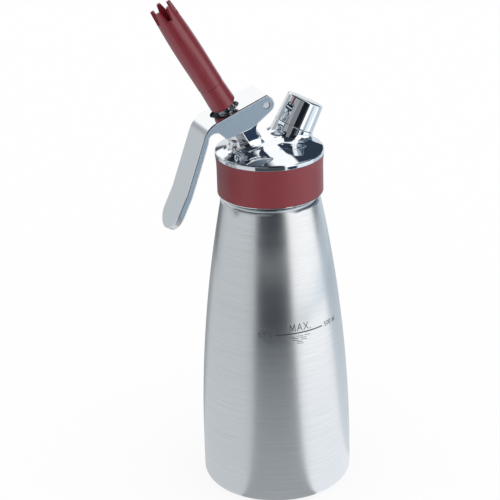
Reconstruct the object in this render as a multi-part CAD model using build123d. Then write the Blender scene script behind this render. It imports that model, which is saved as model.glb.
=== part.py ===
from build123d import *
import os
from math import cos, pi, radians, sin, sqrt

# Whipped cream dispenser of half a litre, in millimetres.
# The origin is the middle of the foot, on the bottle's axis. +Z is up, the lever and the tip lean
# towards -X, and the charger port leans towards +X. Everything is symmetrical about Y = 0.

# ---------------------------------------------------------------- driving dimensions

# Bottle
bottle_radius = 42.0
bottle_wall = 1.0
foot_radius = 33.5  # inner edge of the ring that it stands on
foot_recess = 1.6
base_fillet = 5.0
straight_top = 18.0  # above this height the wall is one large arc
wall_arc_radius = 789.0
shoulder_height = 171.6
shoulder_fillet = 3.4
neck_radius = 22.9
neck_bore = 21.5
mouth_height = 187.0

# Thread between the bottle and the head
head_pitch = 4.0
neck_thread_crest = 24.4
skirt_bore = 24.8
skirt_thread_crest = 23.3

# Head
skirt_bottom = 173.2
skirt_radius = 27.2
band_radius = 29.0
band_flare = 0.6
band_flare_start = 187.0
band_bottom = 173.8
band_top = 195.0
lip_radius = 29.6
lip_edge = 1.2
dome_foot = 196.0
dome_crest = 204.2
dome_sphere = 70.0
ceiling = 194.0
ceiling_radius = 20.0
gasket_ledge = 189.5
casting_root = 198.0  # the raised forms of the casting start inside the dome
valley_floor = 206.0  # between the lever's web and the charger port
valley_fillet = 4.5
dome_fillet = 5.0

# Valve axis: leans towards -X, and its own heights are measured from the bottom of the tip
valve_lean = 29.6
valve_origin = (-26.1, 226.6)
barrel_radius = 8.0
barrel_top = -13.0
barrel_bore = 6.6
collar_clearance = 7.4  # the web stays this far from the axis, so that the collar passes it
seat_height = -39.0
seat_bore = 5.6
packing_step = -33.4
bush_bottom = -30.9
bush_top = -27.0
stem_radius = 4.0
stem_bore = 2.4
running_fit = 0.05
slip_gap = 0.1

# Charger port axis: leans towards +X, heights measured from inside the dome
port_lean = 28.5
port_origin = (10.7, 200.4)
port_ring_radius = 11.1
port_seam = 9.0
spigot_radius = 8.2
port_top = 22.0
port_bore = 4.8

# Fine threads of the cap and of the tip
fine_pitch = 1.5

# Lever
lever_pivot = (-5.4, 225.7)
lever_width = 20.2
lever_flange = 1.6
lever_skin = 1.8
lever_eye_radius = 4.6
lever_edge = 0.6
eye_radius = 3.3  # of the head's web round the pin
pin_radius = 1.9
plate_slope = 20.2
plate_end = (-5.1, 231.4)
lever_corner = (-40.05, 218.55, 13.0)  # outer bend between the plate and the handle
handle_bend = (-53.4, 182.3, 25.0)
handle_end = (-58.15, 172.7)  # centre of the handle's round end

# Tip
tip_collar_foot = 7.25
tip_collar_rim = 6.75
tip_seam = 14.2
tip_notch = 59.5
tip_top = 66.3
prong_count = 5
open_side = -99.2  # direction of one notch, in degrees round the tip's axis

# ---------------------------------------------------------------- helpers


def outline(*corners):
    """A flat face in the XZ plane. A corner is (x, z), or (x, z, radius) where it is rounded."""
    points = [corner[:2] for corner in corners]
    radii = [corner[2] if len(corner) > 2 else 0 for corner in corners]
    return Plane.XZ * make_face(FilletPolyline(*points, radius=radii, close=True))


def turned(*corners):
    """A solid turned about the Z axis, from the (radius, height) corners of half its section."""
    return revolve(outline(*corners), Axis.Z)


def rod(radius, bottom, top):
    """A round bar along the Z axis."""
    return Pos(0, 0, bottom) * Cylinder(radius, top - bottom, align=(Align.CENTER, Align.CENTER, Align.MIN))


def ring(inner, outer, bottom, top, edge=0):
    """A round ring about the Z axis, with its outer and inner edges rounded."""
    return turned((inner, bottom, edge), (outer, bottom, edge), (outer, top, edge), (inner, top, edge))


def leaning_frame(origin, lean):
    """The frame whose Z axis starts at an (x, z) origin and leans by some degrees towards -X."""
    x, z = origin
    angle = radians(lean)
    return Plane(origin=(x, 0, z), x_dir=(cos(angle), 0, sin(angle)), z_dir=(-sin(angle), 0, cos(angle)))


def helical_rib(root, crest, pitch, turns, bottom, root_width, crest_width, bite=0.2):
    """A thread's rib about the Z axis. It stands outwards or inwards, and bites into its wall."""
    path = Helix(pitch, pitch * turns, root)
    into_wall = -bite if crest > root else bite
    rib = Polyline(
        (into_wall, -root_width / 2),
        (crest - root, -crest_width / 2),
        (crest - root, crest_width / 2),
        (into_wall, root_width / 2),
        close=True,
    )
    start = Plane(origin=path @ 0, x_dir=(1, 0, 0), z_dir=path % 0)
    return Pos(0, 0, bottom) * sweep(start * make_face(rib), path, is_frenet=True)


valve = leaning_frame(valve_origin, valve_lean)
port = leaning_frame(port_origin, -port_lean)


def beside_valve(side, height):
    """The (x, z) of a point given by its distance from the valve's axis and its height along it."""
    point = valve.from_local_coords((side, 0, height))
    return point.X, point.Z


# ---------------------------------------------------------------- bottle


def wall_radius(height, inset):
    """Radius of the bottle's wall at a height, moved in by an inset."""
    centre = bottle_radius - wall_arc_radius
    return centre + sqrt((wall_arc_radius - inset) ** 2 - (height - straight_top) ** 2)


def vessel(inset, floor, neck):
    """The solid inside the bottle's wall moved in by an inset, from a floor up through the neck."""
    side = bottle_radius - inset
    shoulder = shoulder_height - inset
    middle = (straight_top + shoulder) / 2
    wall = ThreePointArc(
        (side, straight_top),
        (wall_radius(middle, inset), middle),
        (wall_radius(shoulder, inset), shoulder),
    )
    section = make_face(
        Polyline((side, straight_top), (side, floor), (0, floor), (0, mouth_height))
        + Polyline((0, mouth_height), (neck, mouth_height), (neck, shoulder), wall @ 1)
        + wall
    )
    for corner, radius in (
        ((side, floor), base_fillet - inset),
        (wall @ 1, shoulder_fillet - inset),
        ((neck, shoulder), 0.5),
    ):
        section = fillet(section.vertices().sort_by_distance(corner)[0], radius)
    return revolve(Plane.XZ * section, Axis.Z)


def make_bottle():
    foot_slope = foot_radius - 1.5
    recess = turned((0, -1), (foot_radius, -1), (foot_radius, 0), (foot_slope, foot_recess), (0, foot_recess))
    inside = vessel(bottle_wall, foot_recess + bottle_wall, neck_bore)
    bottle = vessel(0, 0, neck_radius) - inside - recess
    rib = helical_rib(neck_radius, neck_thread_crest, head_pitch, 2.4, 175.2, 1.9, 1.1)
    return bottle + rib


# ---------------------------------------------------------------- head


def make_gasket():
    return ring(20.4, 24.2, mouth_height + running_fit, gasket_ledge - running_fit, 0.4)


def skirt():
    """The threaded wall of the head, with the groove that holds the band."""
    wall = turned(
        (ceiling_radius, gasket_ledge),
        (skirt_bore, gasket_ledge),
        (skirt_bore, skirt_bottom, 0.3),
        (band_radius - 0.1, skirt_bottom, 0.25),
        (band_radius - 0.1, band_bottom, 0.25),
        (skirt_radius, band_bottom),
        (skirt_radius, band_top),
        (lip_radius, band_top, 0.3),
        (lip_radius, dome_foot),
        (ceiling_radius, dome_foot),
    )
    rib = helical_rib(skirt_bore, skirt_thread_crest, head_pitch, 1.9, 177.2, 1.9, 1.1)
    return wall + rib


def dome_height(radius):
    """Height of the dome's sphere at a radius."""
    return dome_crest - dome_sphere + sqrt(dome_sphere**2 - radius**2)


def dome():
    """The low dome over the skirt: part of a sphere, out to the rounded edge of the lip."""
    rim = (lip_radius, dome_height(lip_radius))
    halfway = (lip_radius / 2, dome_height(lip_radius / 2))
    inside = skirt_radius - 1
    under = Polyline(
        (0, dome_crest),
        (0, ceiling),
        (inside, ceiling),
        (inside, dome_foot),
        (lip_radius, dome_foot),
        rim,
    )
    section = make_face(ThreePointArc(rim, halfway, (0, dome_crest)) + under)
    section = fillet(section.vertices().sort_by_distance(rim)[0], lip_edge)
    return revolve(Plane.XZ * section, Axis.Z)


def barrel_and_web():
    """The valve's barrel, and the web as wide as the barrel that runs from it to the lever's pivot."""
    x, z = lever_pivot
    section = Circle(barrel_radius) + Pos(20, 0) * Rectangle(40, 2 * barrel_radius)
    column = valve * extrude(section, 60, both=True)
    side = outline(
        (x - 1.9, z + 2.7),
        beside_valve(collar_clearance, -8.9),
        beside_valve(collar_clearance, barrel_top),
        beside_valve(-12, barrel_top),
        (-30, casting_root),
        (port_origin[0], casting_root),
        (port_origin[0], valley_floor),
        (-10.5, valley_floor, 5.0),
        (-11.5, 214.8, 8.0),
        (x + 2.3, z - 2.4),
    )
    inner_half = rod(barrel_radius, -34, barrel_top) & Pos(5, 0, 0) * Box(8, 20, 100)
    return (column & extrude(side, barrel_radius + 1, both=True)) + valve * inner_half


def crown():
    """The dome with the barrel, the web and the ring of the charger port, all cast in one."""
    low, high = casting_root + 1.6, valley_floor + 1
    web = barrel_and_web()
    radius = port_ring_radius
    port_ring = port * turned((0, -6), (radius, -6), (radius, port_seam, 0.3), (0, port_seam))
    raised = web + port_ring
    corners = new_edges(web, port_ring, combined=raised).filter_by_position(Axis.Z, low, high)
    raised = fillet(corners, valley_fillet)
    raised -= Pos(0, 0, ceiling - 20) * Box(90, 90, 40)
    base = dome()
    whole = base + raised
    corners = new_edges(base, raised, combined=whole).filter_by_position(Axis.Z, low, high)
    return fillet(corners, dome_fillet)


def make_head():
    x, z = lever_pivot
    across = Pos(x, 0, z) * Rot(90, 0, 0)
    eye = across * Cylinder(eye_radius, 2 * barrel_radius)
    seat_boss = valve * rod(9.0, seat_height, -30)
    spigot = rod(spigot_radius, 0, port_top - 0.4) + rod(spigot_radius - 0.4, 0, port_top)
    spigot += helical_rib(spigot_radius, 9.0, fine_pitch, 4.0, 12.0, 0.8, 0.4)
    head = skirt() + crown() + eye + seat_boss + port * spigot
    head -= valve * rod(barrel_bore, packing_step, barrel_top + 1)
    head -= valve * rod(seat_bore, seat_height - 1, packing_step)
    head -= valve * rod(8.0, seat_height - 12, seat_height)
    head -= port * rod(port_bore, 3.5, port_top + 1)
    head -= port * rod(1.5, -4, 4)
    head -= port * rod(4.2, -12, -2.7)
    head -= across * Cylinder(pin_radius + 0.02, 2 * barrel_radius + 2)
    return head


def make_band():
    """The silicone band: straight below, and flared by an arc up to the lip."""
    flare_height = band_top - band_flare_start
    flare_radius = (flare_height**2 + band_flare**2) / (2 * band_flare)
    rise = flare_height / 2
    bulge = flare_radius - sqrt(flare_radius**2 - rise**2)
    flare = ThreePointArc(
        (band_radius, band_flare_start),
        (band_radius + bulge, band_flare_start + rise),
        (band_radius + band_flare, band_top),
    )
    rest = Polyline(
        (band_radius + band_flare, band_top),
        (skirt_radius, band_top),
        (skirt_radius, band_bottom),
        (band_radius, band_bottom),
        (band_radius, band_flare_start),
    )
    return revolve(Plane.XZ * make_face(flare + rest), Axis.Z)


def make_pivot_pin():
    x, z = lever_pivot
    pin = Cylinder(pin_radius, lever_width - 0.8)
    return Pos(x, 0, z) * Rot(90, 0, 0) * chamfer(pin.edges().filter_by(GeomType.CIRCLE), 0.2)


# ---------------------------------------------------------------- charger port inserts


def make_charger_seal():
    return port * ring(2.4, port_bore - running_fit, 10.5, 12.0, 0.3)


def make_piercing_pin():
    """A threaded plug with a hollow needle on it and three gas holes through it."""
    plug = rod(port_bore - running_fit, 4.5, 10.5)
    needle = turned((0, 10), (1.2, 10), (0.9, 12.5), (0.35, 14.0), (0, 14.0))
    part = plug + needle - rod(0.3, 4, 15)
    for turn in range(3):
        part -= Rot(0, 0, 120 * turn) * Pos(1.8, 0, 0) * rod(0.35, 4, 11)
    return port * part


def make_gas_filter():
    return port * rod(port_bore - running_fit, 3.5, 4.5)


def make_check_disc():
    return port * rod(3.4, -3.9, -2.75)


def make_check_retainer():
    """A screwed ring with a slot across it for a driver."""
    part = ring(1.4, 4.2 - running_fit, -5.6, -4.0, 0.2)
    return port * (part - Pos(0, 0, -5.6) * Box(10, 0.9, 1.0))


def make_cap():
    """The screw cap over the port: slightly conical, with a rounded edge at its crown."""
    shell = turned(
        (0, 22.7),
        (9.25, 22.7),
        (9.25, port_seam + 0.15),
        (10.95, port_seam + 0.15, 0.25),
        (10.25, 24.5, 1.1),
        (0, 24.7),
    )
    rib = helical_rib(9.25, 8.45, fine_pitch, 3.0, 12.75, 0.8, 0.4)
    return port * (shell + rib)


def make_cap_liner():
    return port * rod(8.4, port_top + slip_gap, 22.7 - slip_gap)


# ---------------------------------------------------------------- valve


def make_stem():
    """The hollow stem: stud for the foot, inlet holes, shoulder over the collar, and tip thread."""
    body = turned(
        (0, -42.6),
        (2.45, -42.6, 0.3),
        (2.45, -40.6),
        (stem_radius, -40.6),
        (stem_radius, -4.45),
        (4.8, -4.45, 0.3),
        (4.8, -3.3, 0.3),
        (4.2, -3.3),
        (4.2, -1.2),
        (4.8, -1.2, 0.3),
        (4.8, 0.6, 0.2),
        (3.3, 0.6),
        (3.3, 8.0, 0.3),
        (0, 8.0),
    )
    body += helical_rib(3.3, 3.9, fine_pitch, 3.4, 2.4, 0.8, 0.4)
    body -= rod(stem_bore, -38.4, 9)
    for turn in (0, 90):
        body -= Pos(0, 0, -36.4) * Rot(90, 0, turn) * Cylinder(1.3, 12)
    return valve * body


def make_valve_foot():
    return valve * ring(2.5, 7.2, -42.6, -40.6, 0.3)


def make_valve_seal():
    return valve * ring(stem_radius + running_fit, 6.9, -40.6, seat_height - slip_gap, 0.3)


def make_packing_ring():
    section = (stem_radius + barrel_bore) / 2
    thickness = (barrel_bore - stem_radius) / 2 - running_fit
    return valve * Pos(0, 0, packing_step + thickness) * Torus(section, thickness)


def make_guide_bush():
    return valve * ring(stem_radius + running_fit, barrel_bore - running_fit, bush_bottom, bush_top, 0.2)


def make_collar():
    """The collar that the lever presses: its upper face is part of a sphere."""
    face_radius = 15.0
    apex = -4.02
    bore = stem_radius + running_fit
    rim = 6.9
    points = [(r, apex - r**2 / (2 * face_radius)) for r in (bore, (bore + rim) / 2, rim)]
    face = ThreePointArc(*points)
    rest = Polyline(points[2], (rim, -8.0), (bore, -8.0), points[0])
    collar = revolve(Plane.XZ * make_face(face + rest), Axis.Z)
    return valve * collar


def make_spring():
    """A coil of round wire between the bush and the collar."""
    wire = 0.55
    coil = 5.45
    bottom = bush_top + wire + 0.05
    top = -8.05 - wire
    turns = 5.5
    path = Helix((top - bottom) / turns, top - bottom, coil)
    start = Plane(origin=path @ 0, z_dir=path % 0)
    return valve * Pos(0, 0, bottom) * sweep(start * Circle(wire), path, is_frenet=True)


# ---------------------------------------------------------------- lever


def lever_side():
    """The lever from the side: plate, bend and handle outside, flanges and throat inside."""
    return outline(
        plate_end,
        lever_corner,
        handle_bend,
        (-63.6, 161.9),
        (-60.3, 160.2),
        (-50.0, 180.8, 21.0),
        (-39.5, 209.4, 1.5),
        (-38.4, 214.5, 3.6),
        (-33.4, 214.9, 3.0),
        (-28.9, 210.4, 1.0),
        (-13.9, 214.2, 15.0),
        (2.2, 225.4, lever_eye_radius),
    )


def lever_channel():
    """The hollow behind the plate and the handle, open towards the head and the bottle."""
    filled = outline((40.5, 248.2), lever_corner, handle_bend, (-73.6, 141.9), (40.5, 141.9))
    return offset(filled, -lever_skin)


def strip_end(radius):
    """Everything above the round end of the handle: a strip of twice the radius in width."""
    end = leaning_frame(handle_end, 63.4)
    strip = Pos(60, 0) * Rectangle(120, 2 * radius) + Circle(radius)
    return end * extrude(strip, 90, both=True)


def make_lever():
    half = lever_width / 2
    blank = extrude(lever_side(), half, both=True) & strip_end(half)
    blank = fillet(blank.edges() - blank.edges().filter_by(Axis.Y), lever_edge)
    inside = half - lever_flange
    channel = extrude(lever_channel(), inside, both=True) & strip_end(inside)
    plate = leaning_frame(plate_end, plate_slope)
    slot = plate * Pos(-21.95, 0, 0) * extrude(SlotOverall(17, 10.5), 4, both=True)
    x, z = lever_pivot
    hole = Pos(x, 0, z) * Rot(90, 0, 0) * Cylinder(pin_radius + slip_gap, lever_width + 2)
    return blank - channel - slot - hole


# ---------------------------------------------------------------- tip


def make_tip_seal():
    return valve * ring(3.95, 5.3, 0.65, 1.75, 0.3)


def make_tip_insert():
    """A knurled metal nut moulded into the tip's collar."""
    nut = ring(4.15, 5.4, 1.8, 8.4, 0.2)
    rib = helical_rib(4.15, 3.55, fine_pitch, 2.8, 3.15, 0.8, 0.4)
    return valve * (nut + rib)


def make_tip_collar():
    collar = turned(
        (5.4, 0, 0.2),
        (tip_collar_foot, 0, 1.3),
        (tip_collar_rim, tip_seam, 0.15),
        (5.5, tip_seam),
        (5.5, 10.4),
        (4.2, 10.4),
        (4.2, 8.4),
        (5.4, 8.4),
    )
    return valve * collar


def make_tip():
    """The nozzle: a slightly bellied tube with a spigot below and prongs with round ends above."""
    belly = Spline(
        (6.95, tip_seam + 0.3),
        (6.95, 20),
        (7.1, 35),
        (6.83, 50),
        (6.4, tip_notch),
        (6.05, tip_top),
    )
    rest = Polyline(
        belly @ 1,
        (4.55, tip_top),
        (4.9, tip_notch),
        (5.3, 45),
        (5.3, 22),
        (4.2, 17),
        (4.2, 10.5),
        (5.45, 10.5),
        (5.45, tip_seam),
        (6.65, tip_seam),
        belly @ 0,
    )
    tube = revolve(Plane.XZ * make_face(belly + rest), Axis.Z)
    finger = outline(
        (-2.3, tip_notch - 1),
        (2.3, tip_notch - 1),
        (2.3, tip_notch),
        (1.0, tip_top, 0.7),
        (-1.0, tip_top, 0.7),
        (-2.3, tip_notch),
    )
    fingers = extrude(finger, 12)
    facing = open_side + 90 + 180 / prong_count
    crown = Rot(0, 0, facing) * fingers
    for turn in range(1, prong_count):
        crown += Rot(0, 0, facing + 360 / prong_count * turn) * fingers
    body = rod(20, 0, tip_notch)
    return valve * (tube & (body + crown))


# ---------------------------------------------------------------- files

makers = {
    "bottle": make_bottle,
    "head_gasket": make_gasket,
    "head_casting": make_head,
    "head_grip_band": make_band,
    "lever_pivot_pin": make_pivot_pin,
    "stem_guide_bush": make_guide_bush,
    "stem_packing_ring": make_packing_ring,
    "charger_seal": make_charger_seal,
    "piercing_pin": make_piercing_pin,
    "gas_filter_disc": make_gas_filter,
    "check_valve_disc": make_check_disc,
    "check_valve_retainer": make_check_retainer,
    "lever": make_lever,
    "valve_stem": make_stem,
    "valve_foot": make_valve_foot,
    "valve_seal_ring": make_valve_seal,
    "stem_collar": make_collar,
    "valve_spring": make_spring,
    "tip_seal_ring": make_tip_seal,
    "tip_collar": make_tip_collar,
    "tip_thread_insert": make_tip_insert,
    "tulip_tip": make_tip,
    "cap_liner": make_cap_liner,
    "protective_cap": make_cap,
}

os.makedirs("parts", exist_ok=True)
for name, make in makers.items():
    export_step(make(), f"parts/{name}.step")
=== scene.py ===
"""Dresses the whipped cream dispenser: finishes, fill mark, valve spring, studio and camera.

Lengths are in metres in the frame's own axes: +Z up, lever towards -X, charger port towards +X.
"""

from math import cos, pi, radians, sin, sqrt

import bmesh
import bpy
from bpy.props import FloatProperty, FloatVectorProperty, PointerProperty
from mathutils import Matrix, Vector


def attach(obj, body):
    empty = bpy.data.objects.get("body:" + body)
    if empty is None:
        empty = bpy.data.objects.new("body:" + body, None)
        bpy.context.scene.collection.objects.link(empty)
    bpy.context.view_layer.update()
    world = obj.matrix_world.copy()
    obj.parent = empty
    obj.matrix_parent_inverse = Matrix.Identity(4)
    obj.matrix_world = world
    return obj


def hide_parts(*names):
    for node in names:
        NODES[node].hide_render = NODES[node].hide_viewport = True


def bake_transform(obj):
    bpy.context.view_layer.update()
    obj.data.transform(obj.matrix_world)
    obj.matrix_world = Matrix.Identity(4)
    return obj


bl_info = {
    "name": "Cream Dispenser Finishes",
    "version": (1, 0, 0),
    "blender": (4, 5, 0),
    "location": "View3D > Sidebar > Dispenser",
    "description": "Finishes, fill mark, spring and studio for a whipped cream dispenser",
    "category": "Object",
}

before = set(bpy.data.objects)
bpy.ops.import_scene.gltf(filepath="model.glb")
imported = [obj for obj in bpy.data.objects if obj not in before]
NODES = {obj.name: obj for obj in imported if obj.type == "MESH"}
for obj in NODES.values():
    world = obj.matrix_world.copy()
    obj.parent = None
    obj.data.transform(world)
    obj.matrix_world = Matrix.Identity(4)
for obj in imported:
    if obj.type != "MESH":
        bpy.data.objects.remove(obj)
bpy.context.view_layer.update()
MM = 0.001
WHITE = (1, 1, 1, 1)

# The bottle's wall, in millimetres: above its straight foot it is one large arc.
BOTTLE_RADIUS = 42.0
STRAIGHT_TOP = 18.0
WALL_ARC = 789.0

# The valve's axis, in millimetres: it starts at the foot of the tip, and leans towards -X.
VALVE_FOOT = Vector((-26.1, 0, 226.6))
VALVE_LEAN = radians(29.6)


# ---------------------------------------------------------------- colours, nodes and objects


def linear(hex_colour, alpha=1.0):
    """An sRGB hex colour as linear red, green, blue and alpha."""
    channels = [int(hex_colour[i : i + 2], 16) / 255 for i in (1, 3, 5)]
    lit = [c / 12.92 if c <= 0.04045 else ((c + 0.055) / 1.055) ** 2.4 for c in channels]
    return (*lit, alpha)


def shade(colour, share):
    """A colour made lighter or darker by a share."""
    return (*(min(1.0, channel * share) for channel in colour[:3]), 1.0)


def add_node(tree, kind, inputs=None, feeds=None, **settings):
    """Adds a node with its settings and links, and returns its outputs that are in use.

    An input, by name or number, is a value or the socket that feeds it. The first output feeds a socket.
    """
    made = tree.nodes.new(kind)
    for name, value in settings.items():
        setattr(made, name, value)
    for name, value in (inputs or {}).items():
        if isinstance(value, bpy.types.NodeSocket):
            tree.links.new(value, made.inputs[name])
        else:
            made.inputs[name].default_value = value
    outputs = [output for output in made.outputs if output.enabled]
    if feeds:
        tree.links.new(outputs[0], feeds)
    return outputs


def new_material(name, **values):
    """A node material, its tree, and the sockets of its surface shader with constants on them."""
    material = bpy.data.materials.new(name)
    material.use_nodes = True
    shader = material.node_tree.nodes["Principled BSDF"].inputs
    for socket, value in values.items():
        shader[socket.replace("_", " ")].default_value = value
    return material, material.node_tree, shader


def grain(tree, spacing, detail=3.0, roughness=0.6):
    """Noise in the object's own millimetres: spacing is the grain's size along X, Y and Z."""
    place = add_node(tree, "ShaderNodeTexCoord")[3]
    scale = [1 / (MM * step) for step in spacing]
    place = add_node(tree, "ShaderNodeMapping", {"Vector": place, "Scale": scale})[0]
    noise = {"Vector": place, "Scale": 1.0, "Detail": detail, "Roughness": roughness}
    return add_node(tree, "ShaderNodeTexNoise", noise)[0]


def spread(tree, value, low, high, feeds=None):
    """Spreads a value between 0 and 1 over the range from low to high."""
    return add_node(tree, "ShaderNodeMapRange", {"Value": value, "To Min": low, "To Max": high}, feeds)[0]


def mix_colours(tree, share, first, second, feeds=None):
    """Mixes two colours. A share of 0 gives the first and a share of 1 the second."""
    return add_node(tree, "ShaderNodeMix", {0: share, 6: first, 7: second}, feeds, data_type="RGBA")[0]


def calculate(tree, operation, first, second):
    """One step of arithmetic on two numbers or sockets."""
    return add_node(tree, "ShaderNodeMath", {0: first, 1: second}, operation=operation)[0]


def bump(tree, height, depth_mm, shader):
    """Gives a surface relief, as deep as some millimetres."""
    add_node(tree, "ShaderNodeBump", {"Height": height, "Distance": depth_mm * MM}, shader["Normal"])


def add_object(name, data):
    """Puts a mesh or a camera into the scene."""
    made = bpy.data.objects.new(name, data)
    bpy.context.scene.collection.objects.link(made)
    return made


def add_piece(name, mesh, material):
    """Puts a finished bmesh into the scene as a piece of one material."""
    data = bpy.data.meshes.new(name)
    mesh.to_mesh(data)
    mesh.free()
    data.materials.append(material)
    return add_object(name, data)


# ---------------------------------------------------------------- materials


def brushed_stainless_steel(colour, groove_mm):
    """Drawn stainless steel, brushed on a lathe.

    The grooves run round the bottle, so what it mirrors is drawn out into soft upright stripes.
    Real grooves are 0.05 mm apart. They are drawn as coarse as they need to show.
    """
    material, tree, steel = new_material("brushed stainless steel", Metallic=1.0, Anisotropic=0.9)
    fine = grain(tree, (30, 30, groove_mm), 4.0, 0.75)
    patches = grain(tree, (70, 70, 5.0), 2.0, 0.5)
    mix_colours(tree, fine, shade(colour, 0.79), colour, steel["Base Color"])
    spread(tree, patches, 0.17, 0.21, steel["Roughness"])
    bump(tree, fine, 0.008, steel)
    add_node(tree, "ShaderNodeTangent", {}, steel["Tangent"], direction_type="RADIAL", axis="Z")
    return material


def chromium_plate(colour):
    """Nickel and chromium plate over a polished casting. It mirrors the studio, with a faint ripple."""
    material, tree, chrome = new_material("chromium plate", Metallic=1.0, Base_Color=colour)
    haze = grain(tree, (5, 5, 5), 2.0, 0.5)
    spread(tree, haze, 0.03, 0.06, chrome["Roughness"])
    ripple = grain(tree, (8, 8, 8), 1.0, 0.3)
    bump(tree, ripple, 0.008, chrome)
    return material


def polished_lever_steel(face_colour, flank_colour_and_reflection):
    """Pressed stainless steel. The faces are buffed bright, and the flanks keep the belt's fine lines and a
    painted blue-grey reflection.
    """
    material, tree, steel = new_material("polished lever steel", Metallic=1.0)
    # The flanks are what faces along Y. Their blue-grey colour is a painted reflection of the room; their
    # brush lines and roughness are their own.
    normal = add_node(tree, "ShaderNodeTexCoord")[1]
    sideways = add_node(tree, "ShaderNodeSeparateXYZ", {"Vector": normal})[1]
    level = add_node(tree, "ShaderNodeMath", {0: sideways}, operation="ABSOLUTE")[0]
    flank = add_node(tree, "ShaderNodeMapRange", {"Value": level, "From Min": 0.985, "From Max": 0.998})[0]
    lines = grain(tree, (0.9, 12, 7.0), 4.0, 0.7)
    haze = grain(tree, (8, 8, 8), 2.0, 0.5)
    buffed = spread(tree, haze, 0.07, 0.12)
    belted = spread(tree, lines, 0.34, 0.5)
    add_node(tree, "ShaderNodeMix", {0: flank, 2: buffed, 3: belted}, steel["Roughness"])
    streaks = mix_colours(tree, lines, shade(flank_colour_and_reflection, 0.72), flank_colour_and_reflection)
    mix_colours(tree, flank, face_colour, streaks, steel["Base Color"])
    height = calculate(tree, "MULTIPLY", lines, flank)
    bump(tree, height, 0.03, steel)
    return material


def silicone_rubber(colour):
    """Pressed silicone rubber: matte, with a fine texture and dust that catch light at a glancing angle."""
    material, tree, rubber = new_material(
        "dark red silicone rubber",
        Roughness=0.42,
        IOR=1.5,
        Sheen_Weight=0.18,
        Sheen_Roughness=0.35,
        Sheen_Tint=linear("#f4dcdf"),
    )
    cloud = grain(tree, (9, 9, 9), 2.0, 0.5)
    mix_colours(tree, cloud, colour, shade(colour, 1.14), rubber["Base Color"])
    texture = grain(tree, (0.35, 0.35, 0.35), 3.0, 0.6)
    bump(tree, texture, 0.02, rubber)
    return material


def moulded_polypropylene(colour):
    """Injection-moulded polypropylene: semi-gloss, and a little light passes through its thin prongs.

    Its index is set above the plastic's own 1.49, for the strong highlights of a polished mould.
    """
    material, tree, plastic = new_material(
        "dark red moulded polypropylene",
        IOR=1.7,
        Subsurface_Weight=0.12,
        Subsurface_Scale=0.002,
        Subsurface_Radius=(1.0, 0.12, 0.08),
    )
    cloud = grain(tree, (6, 6, 6), 2.0, 0.5)
    mix_colours(tree, cloud, colour, shade(colour, 1.12), plastic["Base Color"])
    spread(tree, cloud, 0.19, 0.24, plastic["Roughness"])
    skin = grain(tree, (0.5, 0.5, 0.5), 2.0, 0.6)
    bump(tree, skin, 0.004, plastic)
    return material


def turned_metal(name, colour, roughness=0.24):
    """Bar stock from a lathe. Fine tool marks blur what it mirrors."""
    material, tree, metal = new_material(name, Metallic=1.0)
    marks = grain(tree, (3, 3, 0.12), 2.0, 0.6)
    mix_colours(tree, marks, shade(colour, 0.85), colour, metal["Base Color"])
    spread(tree, marks, roughness * 0.8, roughness * 1.2, metal["Roughness"])
    bump(tree, marks, 0.004, metal)
    return material


def moulded_rubber(name, colour, roughness=0.6):
    """Moulded nitrile rubber or soft polyethylene: dull, with a faint bloom."""
    material, tree, rubber = new_material(name)
    bloom = grain(tree, (1.5, 1.5, 1.5), 3.0, 0.6)
    mix_colours(tree, bloom, colour, shade(colour, 1.5), rubber["Base Color"])
    spread(tree, bloom, roughness * 0.85, roughness * 1.1, rubber["Roughness"])
    bump(tree, bloom, 0.01, rubber)
    return material


def etched_steel(colour):
    """Electrochemical etching: a dull grey film on the steel, a little uneven."""
    material, tree, film = new_material("etched grey steel", Metallic=0.4)
    patches = grain(tree, (0.4, 0.4, 0.4), 2.0, 0.5)
    mix_colours(tree, patches, shade(colour, 0.8), shade(colour, 1.3), film["Base Color"])
    spread(tree, patches, 0.5, 0.65, film["Roughness"])
    return material


def dress(material, *names):
    """Gives the frame's solids one material."""
    for name in names:
        NODES[name].data.materials.clear()
        NODES[name].data.materials.append(material)


# ---------------------------------------------------------------- settings


def colour_property(name, description, hex_colour):
    """A colour in the panel, from its sRGB hex value."""
    return FloatVectorProperty(
        name=name,
        description=description,
        subtype="COLOR",
        size=4,
        min=0,
        max=1,
        default=linear(hex_colour),
    )


def length_property(name, description, default):
    """A length in the panel, in metres."""
    return FloatProperty(
        name=name,
        description=description,
        default=default,
        min=0,
        subtype="DISTANCE",
        unit="LENGTH",
    )


class BottleSettings(bpy.types.PropertyGroup):
    steel: colour_property("Steel", "Colour of the brushed bottle", "#e9ebed")
    groove: FloatProperty(
        name="Groove", description="Spacing of the brush lines, in mm", default=0.75, min=0.01
    )


class MarkSettings(bpy.types.PropertyGroup):
    etching: colour_property("Etching", "Colour of the etched fill mark", "#45494d")
    height: length_property("Fill height", "Height of the fill line above the foot", 0.1031)
    large_letters: length_property("Large letters", "Height of the word over the line", 0.0038)
    small_letters: length_property("Small letters", "Height of the volumes beside the line", 0.0024)


class HeadSettings(bpy.types.PropertyGroup):
    chrome: colour_property("Chrome", "Colour of the plated head and cap", "#eef1f4")
    silicone: colour_property("Band", "Colour of the silicone band", "#7b2b33")
    rubber: colour_property("Seals", "Colour of the rubber seals", "#1c1c1d")
    brass: colour_property("Brass", "Colour of the turned brass", "#c9a35f")


class LeverSettings(bpy.types.PropertyGroup):
    face: colour_property("Faces", "Colour of the lever's buffed faces", "#eceef0")
    # The flanks' blue-grey is a painted reflection of the room over the steel's own grey.
    flank: colour_property("Flanks", "Colour of the lever's brushed flanks", "#b6c8d8")


class TipSettings(bpy.types.PropertyGroup):
    plastic: colour_property("Plastic", "Colour of the decorating tip", "#75212b")
    steel: colour_property("Stem", "Colour of the stem and spring", "#9b9d9e")
    wire: length_property("Wire", "Thickness of the spring's wire", 0.0011)
    coil: length_property("Coil", "Width of the spring, between the middles of its wire", 0.0109)
    pin: colour_property("Pin", "Colour of the lever's pin", "#f2f3f5")


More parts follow.
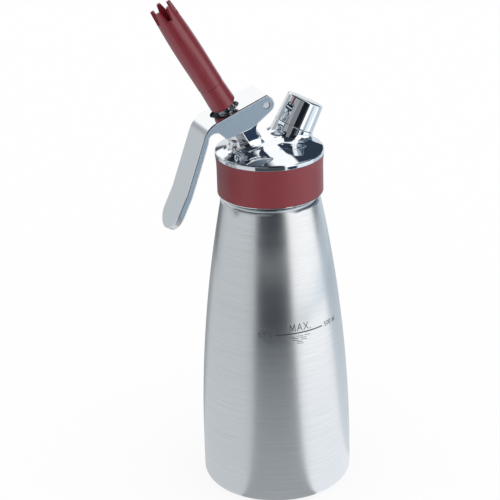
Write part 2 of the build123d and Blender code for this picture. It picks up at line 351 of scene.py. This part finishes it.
class StudioSettings(bpy.types.PropertyGroup):
    floor: colour_property("Floor", "Colour of the studio floor", "#f6f6f6")
    reach: length_property("Floor size", "Half the width of the floor", 3.0)
    lens: FloatProperty(
        name="Lens", description="Focal length in mm for a 36 mm sensor", default=129.85, min=10
    )


# ---------------------------------------------------------------- fill mark

# Letters of single strokes, one unit high: the width, then each stroke's points.
LETTERS = {
    "M": (0.92, ((0, 0), (0.1, 1), (0.46, 0.15), (0.82, 1), (0.92, 0))),
    "A": (0.84, ((0, 0), (0.42, 1), (0.84, 0)), ((0.15, 0.34), (0.69, 0.34))),
    "X": (0.78, ((0, 0), (0.78, 1)), ((0, 1), (0.78, 0))),
    "L": (0.52, ((0, 1), (0, 0), (0.52, 0))),
    "m": (
        0.8,
        ((0, 0), (0, 0.66)),
        ((0, 0.48), (0.12, 0.66), (0.3, 0.66), (0.4, 0.48), (0.4, 0)),
        ((0.4, 0.48), (0.52, 0.66), (0.7, 0.66), (0.8, 0.48), (0.8, 0)),
    ),
    "l": (0.1, ((0.05, 0), (0.05, 1))),
    ".": (0.1, ((0.05, 0), (0.05, 0.12))),
    "0": (
        0.6,
        tuple((0.3 + 0.3 * sin(pi * t / 8), 0.5 + 0.5 * cos(pi * t / 8)) for t in range(17)),
    ),
    "5": (
        0.6,
        (
            (0.54, 1), (0.1, 1), (0.05, 0.55), (0.3, 0.62), (0.52, 0.52),
            (0.6, 0.3), (0.5, 0.08), (0.26, 0), (0.02, 0.1),
        ),
    ),
    " ": (0.3,),
}
LETTER_GAP = 0.34

# The mark's middle, in degrees about the bottle from +X. All its lengths are in millimetres, to the
# right of that middle and above the fill line.
MARK_HEADING = -90
MARK_LINE = (-16.8, 14.6)
MARK_LINE_STROKE = 0.65
# Each word with the setting of its height, its stroke, its left end and its foot.
MARK_WORDS = (
    ("MAX.", "large_letters", 0.42, -8.2, 1.3),
    ("0.5 L", "small_letters", 0.34, -27.8, -1.1),
    ("500 ml", "small_letters", 0.34, 17.0, -0.9),
)
# The rows of dashes under the line. Each is narrower than the one above, and every second is set off.
DASH_ROWS = 5
DASH_LENGTH = 4.6
DASH_GAP = 0.5
DASH_STROKE = 0.26
DASH_WAVE = 0.1
# A dash is left out where less than this share of it fits into its row.
DASH_FIT = 0.8
ROW_HALF_WIDTH = 8.4
ROW_TAPER = 1.3
ROW_SHIFT = 0.6
ROW_OFFSET = 0.8
FIRST_ROW_DROP = 1.9
ROW_DROP = 1.05
# The longest straight piece that a stroke is laid on the round wall with.
ETCHED_STEP = 0.5
# At a sharp bend a stroke widens to this many times at most.
WIDEST_BEND = 2


def on_wall(around, height, proud=0.03):
    """A point on the bottle's wall, from degrees about its axis and millimetres above its foot."""
    radius = BOTTLE_RADIUS - WALL_ARC + sqrt(WALL_ARC**2 - (height - STRAIGHT_TOP) ** 2) + proud
    angle = radians(around)
    return Vector((radius * cos(angle), radius * sin(angle), height)) * MM


def etch(mesh, points, width):
    """Etches a stroke of some width on the wall. Its points are in millimetres, on the wall laid flat."""
    line = [Vector(points[0])]
    for first, last in zip(points, points[1:]):
        steps = 1 + int((Vector(last) - Vector(first)).length / ETCHED_STEP)
        line += [Vector(first).lerp(Vector(last), step / steps) for step in range(1, steps + 1)]
    runs = [(b - a).normalized() for a, b in zip(line, line[1:])]
    line[0] -= runs[0] * width / 2
    line[-1] += runs[-1] * width / 2
    edges = []
    for place, before, after in zip(line, runs[:1] + runs, runs + runs[-1:]):
        along = (before + after).normalized()
        half = width / 2 / max(1 / WIDEST_BEND, along.dot(after))
        sideways = Vector((-along.y, along.x)) * half
        both = []
        for across, up in (place + sideways, place - sideways):
            around = MARK_HEADING + across / (BOTTLE_RADIUS * radians(1))
            both.append(mesh.verts.new(on_wall(around, up)))
        edges.append(both)
    for (a, b), (c, d) in zip(edges, edges[1:]):
        mesh.faces.new((a, b, d, c))


def etch_words(mesh, words, letter_height, stroke, left, bottom):
    """Etches a line of letters from its left end and its foot."""
    for letter in words:
        width, *strokes = LETTERS[letter]
        for points in strokes:
            place = [(left + x * letter_height, bottom + y * letter_height) for x, y in points]
            etch(mesh, place, stroke)
        left += (width + LETTER_GAP) * letter_height


def etch_dashes(mesh, fill):
    """Etches the rows of wavy dashes that stand for the cream."""
    for row in range(DASH_ROWS):
        half_width = ROW_HALF_WIDTH - row * ROW_TAPER
        middle = fill - FIRST_ROW_DROP - row * ROW_DROP
        start = -half_width - ROW_SHIFT + (row % 2) * ROW_OFFSET
        while start + DASH_LENGTH * DASH_FIT < half_width - ROW_SHIFT:
            wave = [(start + DASH_LENGTH * t / 6, middle + DASH_WAVE * sin(pi * t / 3)) for t in range(6)]
            etch(mesh, wave, DASH_STROKE)
            start += DASH_LENGTH + DASH_GAP


def make_fill_mark(look):
    """The fill line, its word and volumes, and the wavy dashes that stand for the cream below it."""
    fill = look.height / MM
    mesh = bmesh.new()
    etch(mesh, [(end, fill) for end in MARK_LINE], MARK_LINE_STROKE)
    for words, letters, stroke, left, above in MARK_WORDS:
        etch_words(mesh, words, getattr(look, letters) / MM, stroke, left, fill + above)
    etch_dashes(mesh, fill)
    mark = add_piece("fill_mark", mesh, etched_steel(tuple(look.etching)))
    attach(mark, "bottle")


# ---------------------------------------------------------------- spring

# How far along the valve's axis the coil's first and last turns lie at rest, in millimetres.
SPRING_ENDS = (-26.4, -8.6)
SPRING_TURNS = 5.5
# How many pieces the coil has along its whole length, and how many sides its wire has.
COIL_STEPS = 264
WIRE_SIDES = 12


def along_valve(x, y, height):
    """A point in metres, from millimetres across the valve's axis and along it."""
    across = Vector((cos(VALVE_LEAN), 0, sin(VALVE_LEAN)))
    axis = Vector((-sin(VALVE_LEAN), 0, cos(VALVE_LEAN)))
    return (VALVE_FOOT + across * x + Vector((0, y, 0)) + axis * height) * MM


def make_spring(look, steel):
    """The valve's spring. It stands on the guide bush."""
    bottom, top = SPRING_ENDS
    coil, wire = look.coil / MM / 2, look.wire / MM / 2
    length = 2 * pi * SPRING_TURNS
    climb = (top - bottom) / (length * coil)
    mesh = bmesh.new()
    rings = []
    for step in range(COIL_STEPS + 1):
        turn = length * step / COIL_STEPS
        height = bottom + (top - bottom) * step / COIL_STEPS
        ring = []
        for side in range(WIRE_SIDES):
            round_wire = 2 * pi * side / WIRE_SIDES
            reach = coil + wire * cos(round_wire)
            lift = wire * sin(round_wire) / sqrt(1 + climb**2)
            x = reach * cos(turn) + lift * climb * sin(turn)
            y = reach * sin(turn) - lift * climb * cos(turn)
            ring.append(mesh.verts.new(along_valve(x, y, height + lift)))
        rings.append(ring)
    for one, two in zip(rings, rings[1:]):
        for side in range(WIRE_SIDES):
            mesh.faces.new((one[side], one[side - 1], two[side - 1], two[side])).smooth = True
    mesh.faces.new(rings[0])
    mesh.faces.new(rings[-1])
    bmesh.ops.recalc_face_normals(mesh, faces=mesh.faces)
    spring = add_piece("coil_spring", mesh, steel)
    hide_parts("valve_spring")
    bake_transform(spring)


# ---------------------------------------------------------------- studio

# What metal mirrors: first and last heading in degrees from +X, lowest and highest elevation,
# the softness of the screen's edge in degrees, and its colour. Later screens stand before earlier ones.
SCREENS = (
    (130, 214, -90, 8, 6, "#c0c4c6"),  # pale wall on the left
    (100, 130, -90, 20, 6, "#b2b7ba"),  # and a little darker behind it
    (100, 146, 8, 22, 6, "#9ca0a3"),
    (146, 214, 8, 30, 6, "#8d9297"),
    (130, 214, 30, 78, 5, "#2b3746"),  # dark ceiling over the left wall
    (48, 112, -90, -13, 4, "#6c7076"),  # dark floor behind
    (48, 112, -13, 14, 4, "#cfd1d2"),  # light horizon behind
    (74, 112, 14, 36, 6, "#f2f2f1"),
    (80, 91, -2, 18, 3, "#4a535d"),  # dark pillar behind
    (76, 128, 36, 74, 5, "#565c62"),  # dark ceiling behind
    (75, 285, 68, 96, 5, "#2b3746"),  # and straight above
    (-80, 76, 57, 96, 5, "#2b3746"),
    (-12, 58, 9, 60, 3, "#2a3442"),  # and behind on the right
    (22, 58, -90, 9, 4, "#c8d1d8"),  # blue-grey wall below it
    (-12, 22, -90, -12, 4, "#b4c0ca"),
    (-12, 22, -12, 9, 4, "#55626f"),
    (-30, -12, 0, 42, 6, "#3f4d5b"),
    (-57, -30, 7, 42, 6, "#4a5866"),
    (-57, -12, 42, 60, 6, "#939fa8"),
    (-80, -52, -90, -13, 5, "#acbac2"),
    (-52, -12, -90, -13, 5, "#d4e0e8"),
    (-76, -56, -90, -17.5, 2, "#27364a"),  # dark gap in the floor in front on the right
    (-146, -82, -90, -6, 3, "#3f4449"),  # the camera's dark side of the room
    (-146, -82, -6, 4, 3, "#3c4147"),
    (-146, -118, 4, 35, 3, "#74777b"),
    (-118, -83, 0, 35, 3, "#151a22"),
    (-146, -76, 34, 70, 3, "#262d35"),  # and its dark ceiling
)
# A long strip of light overhead runs along Y. These are its two edges, across per height, as it is seen
# from the dispenser, the elevation in degrees below which it ends, and its colour.
OVERHEAD_STRIP = (0.2, 0.57)
STRIP_END = 45
STRIP_COLOUR = "#f0f1f1"
# How soft each of those three edges is.
STRIP_SOFTNESS = (0.06, 0.03, 0.03)

# The floor as metal mirrors it is a painted glow, with painted reflections of the room in it: its colours
# close to the foot and half a metre away, and how far from the middle the first begins to give way and
# where only the second is left.
FLOOR_TONES = ("#c6cacd", "#bfc3c6")
FLOOR_FADE = (0.03, 0.5)
# And where it differs, with painted shade on the camera's side: first and last heading, the softness of the
# edge, and the same two colours.
FLOOR_SHADES = (
    (-82, -12, 4, "#eaeef2", "#ffffff"),
    (-12, 22, 8, "#d4dade", "#a7b2bc"),
    (22, 66, 8, "#d0d7dc", "#b2bcc4"),
    (66, 112, 8, "#9ea2a6", "#94989c"),
    (-146, -82, 3, "#a1a5a8", "#4d5257"),
)
# How brightly the painted floor glow and the world's screens shine in mirrors.
MIRRORED_STRENGTH = 1.25
# Where that floor ends, and how soft its end is.
NEAR_FLOOR = 0.46
NEAR_FLOOR_EDGE = 0.02
# How much of the floor that the camera sees glows by itself. The rest takes the object's shadow.
FLOOR_GLOW = 0.86

# The light that isn't mirrored is strongest from this heading in degrees and this height per length,
# and has these strengths away from there and towards it.
KEY_HEADING = -48
KEY_RISE = 0.4
LIGHT_STRENGTHS = (0.7, 1.25)

# The camera's place, and its heading, pitch and roll in degrees.
CAMERA_PLACE = (-0.3804, -0.8347, 0.5331)
CAMERA_TURN = (-23.74, -23.31, -1.79)
SENSOR_WIDTH = 36


def mask_edges(tree, edges):
    """A mask of soft edges: each has a socket, where it starts and ends, and its values there."""
    mask = 1.0
    for value, start, end, before, after in edges:
        step = {"Value": value, "From Min": start, "From Max": end, "To Min": before, "To Max": after}
        edge_on = add_node(tree, "ShaderNodeMapRange", step, interpolation_type="SMOOTHSTEP")[0]
        mask = calculate(tree, "MULTIPLY", mask, edge_on)
    return mask


def paint_screens(tree, direction, colour, screens):
    """Paints screens over a colour, by their heading and elevation in a direction's socket."""
    level = add_node(tree, "ShaderNodeVectorMath", {0: direction, 1: (1, 1, 0)}, operation="MULTIPLY")[0]
    heading = add_node(tree, "ShaderNodeVectorMath", {0: level}, operation="NORMALIZE")[0]
    height = add_node(tree, "ShaderNodeSeparateXYZ", {"Vector": direction})[2]
    rise = add_node(tree, "ShaderNodeMath", {0: height}, operation="ARCSINE")[0]
    for first, last, low, high, edge, screen in screens:
        middle, half, soft = radians((first + last) / 2), radians((last - first) / 2), radians(edge / 2)
        sides = {0: heading, 1: (cos(middle), sin(middle), 0)}
        facing = add_node(tree, "ShaderNodeVectorMath", sides, operation="DOT_PRODUCT")[0]
        edges = (
            (facing, cos(half + soft), cos(half - soft), 0, 1),
            (rise, radians(low) - soft, radians(low) + soft, 0, 1),
            (rise, radians(high) - soft, radians(high) + soft, 1, 0),
        )
        colour = mix_colours(tree, mask_edges(tree, edges), colour, linear(screen))
    return colour


def paint_strip(tree, direction, colour):
    """Paints the overhead strip of light over a colour."""
    across, _, height = add_node(tree, "ShaderNodeSeparateXYZ", {"Vector": direction})
    slope = calculate(tree, "DIVIDE", across, height)
    near, far = OVERHEAD_STRIP
    end = sin(radians(STRIP_END))
    near_soft, far_soft, end_soft = STRIP_SOFTNESS
    edges = (
        (slope, near - near_soft, near + near_soft, 0, 1),
        (slope, far - far_soft, far + far_soft, 1, 0),
        (height, end - end_soft, end + end_soft, 0, 1),
    )
    return mix_colours(tree, mask_edges(tree, edges), colour, linear(STRIP_COLOUR))


def ray_kinds(tree):
    """Whether a ray is mirrored, and whether it comes from the camera or through a clear material."""
    rays = tree.nodes.new("ShaderNodeLightPath").outputs
    seen = calculate(tree, "MAXIMUM", rays["Is Camera Ray"], rays["Is Transmission Ray"])
    return rays["Is Glossy Ray"], seen


def mirrored_floor(tree):
    """The floor that metal mirrors: a painted glow in shades by heading near the foot, and nothing past its
    end.
    """
    place = add_node(tree, "ShaderNodeTexCoord")[3]
    distance = add_node(tree, "ShaderNodeVectorMath", {0: place}, operation="LENGTH")[0]
    start, end = FLOOR_FADE
    fade = {"Value": distance, "From Min": start, "From Max": end}
    away = add_node(tree, "ShaderNodeMapRange", fade)[0]
    shades = [linear(tone) for tone in FLOOR_TONES]
    for first, last, edge, *tones in FLOOR_SHADES:
        sector = (first, last, -90, 90, edge)
        shades = [paint_screens(tree, place, old, [(*sector, new)]) for old, new in zip(shades, tones)]
    colour = mix_colours(tree, away, *shades)
    near = add_node(tree, "ShaderNodeEmission", {"Color": colour, "Strength": MIRRORED_STRENGTH})[0]
    clear = add_node(tree, "ShaderNodeBsdfTransparent")[0]
    stop = {"Value": distance, "From Min": NEAR_FLOOR - NEAR_FLOOR_EDGE, "From Max": NEAR_FLOOR}
    past = add_node(tree, "ShaderNodeMapRange", stop)[0]
    return add_node(tree, "ShaderNodeMixShader", {0: past, 1: near, 2: clear})[0]


def make_floor(colour, reach):
    """A plain white floor. The camera sees it evenly lit, with only part of the object's shadow.

    Metal mirrors its near part as a painted glow in shades by heading, and past that the room's screens.
    """
    mesh = bpy.data.meshes.new("studio_floor")
    corners = [(-reach, -reach, 0), (reach, -reach, 0), (reach, reach, 0), (-reach, reach, 0)]
    mesh.from_pydata(corners, [], [(0, 1, 2, 3)])
    floor = add_object("studio_floor", mesh)
    # Bright matte paper, so the dispenser stands on white with a soft faint shadow.
    material = bpy.data.materials.new("white studio paper")
    material.use_nodes = True
    tree = material.node_tree
    tree.nodes.clear()
    surface = tree.nodes.new("ShaderNodeOutputMaterial").inputs["Surface"]
    paper = add_node(tree, "ShaderNodeBsdfDiffuse", {"Color": colour})[0]
    glow = add_node(tree, "ShaderNodeEmission", {"Color": WHITE})[0]
    mirrored = mirrored_floor(tree)
    glossy, seen = ray_kinds(tree)
    share = calculate(tree, "MULTIPLY", seen, FLOOR_GLOW)
    lit = add_node(tree, "ShaderNodeMixShader", {0: share, 1: paper, 2: glow})[0]
    add_node(tree, "ShaderNodeMixShader", {0: glossy, 1: lit, 2: mirrored}, surface)
    mesh.materials.append(material)


def make_world():
    """A soft even light from all sides, a little stronger from the right, with screens to mirror."""
    world = bpy.data.worlds.new("soft studio")
    bpy.context.scene.world = world
    world.use_nodes = True
    tree = world.node_tree
    tree.nodes.clear()
    direction = add_node(tree, "ShaderNodeTexCoord")[0]
    screens = paint_strip(tree, direction, paint_screens(tree, direction, WHITE, SCREENS))
    bright = {"Vector": screens, "Scale": MIRRORED_STRENGTH}
    mirrored = add_node(tree, "ShaderNodeVectorMath", bright, operation="SCALE")[0]
    key = (cos(radians(KEY_HEADING)), sin(radians(KEY_HEADING)), KEY_RISE)
    sides = {0: direction, 1: key}
    facing = add_node(tree, "ShaderNodeVectorMath", sides, operation="DOT_PRODUCT")[0]
    low, high = LIGHT_STRENGTHS
    levels = {"Value": facing, "From Min": -1.0, "To Min": low, "To Max": high}
    plain = add_node(tree, "ShaderNodeMapRange", levels)[0]
    glossy, seen = ray_kinds(tree)
    other = mix_colours(tree, glossy, plain, mirrored)
    colour = mix_colours(tree, seen, other, WHITE)
    light = add_node(tree, "ShaderNodeBackground", {"Color": colour, "Strength": 1.0})[0]
    out = tree.nodes.new("ShaderNodeOutputWorld")
    tree.links.new(light, out.inputs["Surface"])


def make_camera(lens):
    """The camera stands in front, to the left and above, tilted a little."""
    heading, pitch, roll = (radians(angle) for angle in CAMERA_TURN)
    data = bpy.data.cameras.new("camera")
    data.lens = lens
    data.sensor_width = SENSOR_WIDTH
    camera = add_object("camera", data)
    turn = Matrix.Rotation(heading, 4, "Z") @ Matrix.Rotation(pi / 2 + pitch, 4, "X")
    turn = turn @ Matrix.Rotation(roll, 4, "Z")
    camera.matrix_world = Matrix.Translation(CAMERA_PLACE) @ turn
    bpy.context.scene.camera = camera


# ---------------------------------------------------------------- operators


class DISPENSER_OT_bottle(bpy.types.Operator):
    """Finishes the bottle in brushed steel"""

    bl_idname = "dispenser.bottle"
    bl_label = "Bottle"

    def execute(self, context):
        look = context.scene.dispenser_bottle
        dress(brushed_stainless_steel(tuple(look.steel), look.groove), "bottle")
        return {"FINISHED"}


class DISPENSER_OT_mark(bpy.types.Operator):
    """Etches the fill mark on the bottle"""

    bl_idname = "dispenser.mark"
    bl_label = "Fill mark"

    def execute(self, context):
        make_fill_mark(context.scene.dispenser_mark)
        return {"FINISHED"}


class DISPENSER_OT_head(bpy.types.Operator):
    """Finishes the head, its band, the cap and the parts inside them"""

    bl_idname = "dispenser.head"
    bl_label = "Head"

    def execute(self, context):
        look = context.scene.dispenser_head
        dress(chromium_plate(tuple(look.chrome)), "head_casting", "protective_cap")
        dress(silicone_rubber(tuple(look.silicone)), "head_grip_band")
        seals = moulded_rubber("black nitrile rubber", tuple(look.rubber))
        dress(seals, "head_gasket", "stem_packing_ring", "charger_seal", "check_valve_disc")
        dress(seals, "valve_seal_ring", "tip_seal_ring")
        brass = turned_metal("turned brass", tuple(look.brass))
        dress(brass, "stem_guide_bush", "piercing_pin", "gas_filter_disc", "check_valve_retainer")
        dress(moulded_rubber("white polyethylene", linear("#c9c9c6"), 0.5), "cap_liner")
        return {"FINISHED"}


class DISPENSER_OT_lever(bpy.types.Operator):
    """Finishes the lever"""

    bl_idname = "dispenser.lever"
    bl_label = "Lever"

    def execute(self, context):
        look = context.scene.dispenser_lever
        dress(polished_lever_steel(tuple(look.face), tuple(look.flank)), "lever")
        return {"FINISHED"}


class DISPENSER_OT_tip(bpy.types.Operator):
    """Finishes the decorating tip, the stem, the spring and the lever's pin"""

    bl_idname = "dispenser.tip"
    bl_label = "Tip and stem"

    def execute(self, context):
        look = context.scene.dispenser_tip
        dress(moulded_polypropylene(tuple(look.plastic)), "tip_collar", "tulip_tip")
        steel = turned_metal("turned stainless steel", tuple(look.steel), 0.2)
        dress(steel, "valve_stem", "stem_collar", "valve_foot", "valve_spring", "tip_thread_insert")
        make_spring(look, steel)
        dress(turned_metal("spun rivet steel", tuple(look.pin), 0.32), "lever_pivot_pin")
        return {"FINISHED"}


class DISPENSER_OT_studio(bpy.types.Operator):
    """Sets the floor, the soft light and the camera"""

    bl_idname = "dispenser.studio"
    bl_label = "Studio"

    def execute(self, context):
        look = context.scene.dispenser_studio
        make_floor(tuple(look.floor), look.reach)
        make_world()
        make_camera(look.lens)
        context.scene.view_settings.view_transform = "Standard"
        return {"FINISHED"}


class DISPENSER_PT_panel(bpy.types.Panel):
    """Lists the dispenser's pieces in the 3D view's sidebar"""

    bl_idname = "DISPENSER_PT_panel"
    bl_label = "Dispenser"
    bl_space_type = "VIEW_3D"
    bl_region_type = "UI"
    bl_category = "Dispenser"

    def draw(self, context):
        for operator, settings, _ in STEPS:
            box = self.layout.box()
            box.operator(operator.bl_idname)
            group = getattr(context.scene, settings)
            for name in group.__annotations__:
                box.prop(group, name)


# Each step's operator, the scene property that holds its settings, and what those are.
STEPS = (
    (DISPENSER_OT_bottle, "dispenser_bottle", BottleSettings),
    (DISPENSER_OT_mark, "dispenser_mark", MarkSettings),
    (DISPENSER_OT_head, "dispenser_head", HeadSettings),
    (DISPENSER_OT_lever, "dispenser_lever", LeverSettings),
    (DISPENSER_OT_tip, "dispenser_tip", TipSettings),
    (DISPENSER_OT_studio, "dispenser_studio", StudioSettings),
)


def register():
    for operator, name, group in STEPS:
        bpy.utils.register_class(group)
        setattr(bpy.types.Scene, name, PointerProperty(type=group))
        bpy.utils.register_class(operator)
    bpy.utils.register_class(DISPENSER_PT_panel)


def unregister():
    bpy.utils.unregister_class(DISPENSER_PT_panel)
    for operator, name, group in reversed(STEPS):
        bpy.utils.unregister_class(operator)
        delattr(bpy.types.Scene, name)
        bpy.utils.unregister_class(group)


def main():
    """Runs every step once."""
    register()
    for operator, _, _ in STEPS:
        category, name = operator.bl_idname.split(".")
        getattr(getattr(bpy.ops, category), name)()


if __name__ == "__main__":
    main()
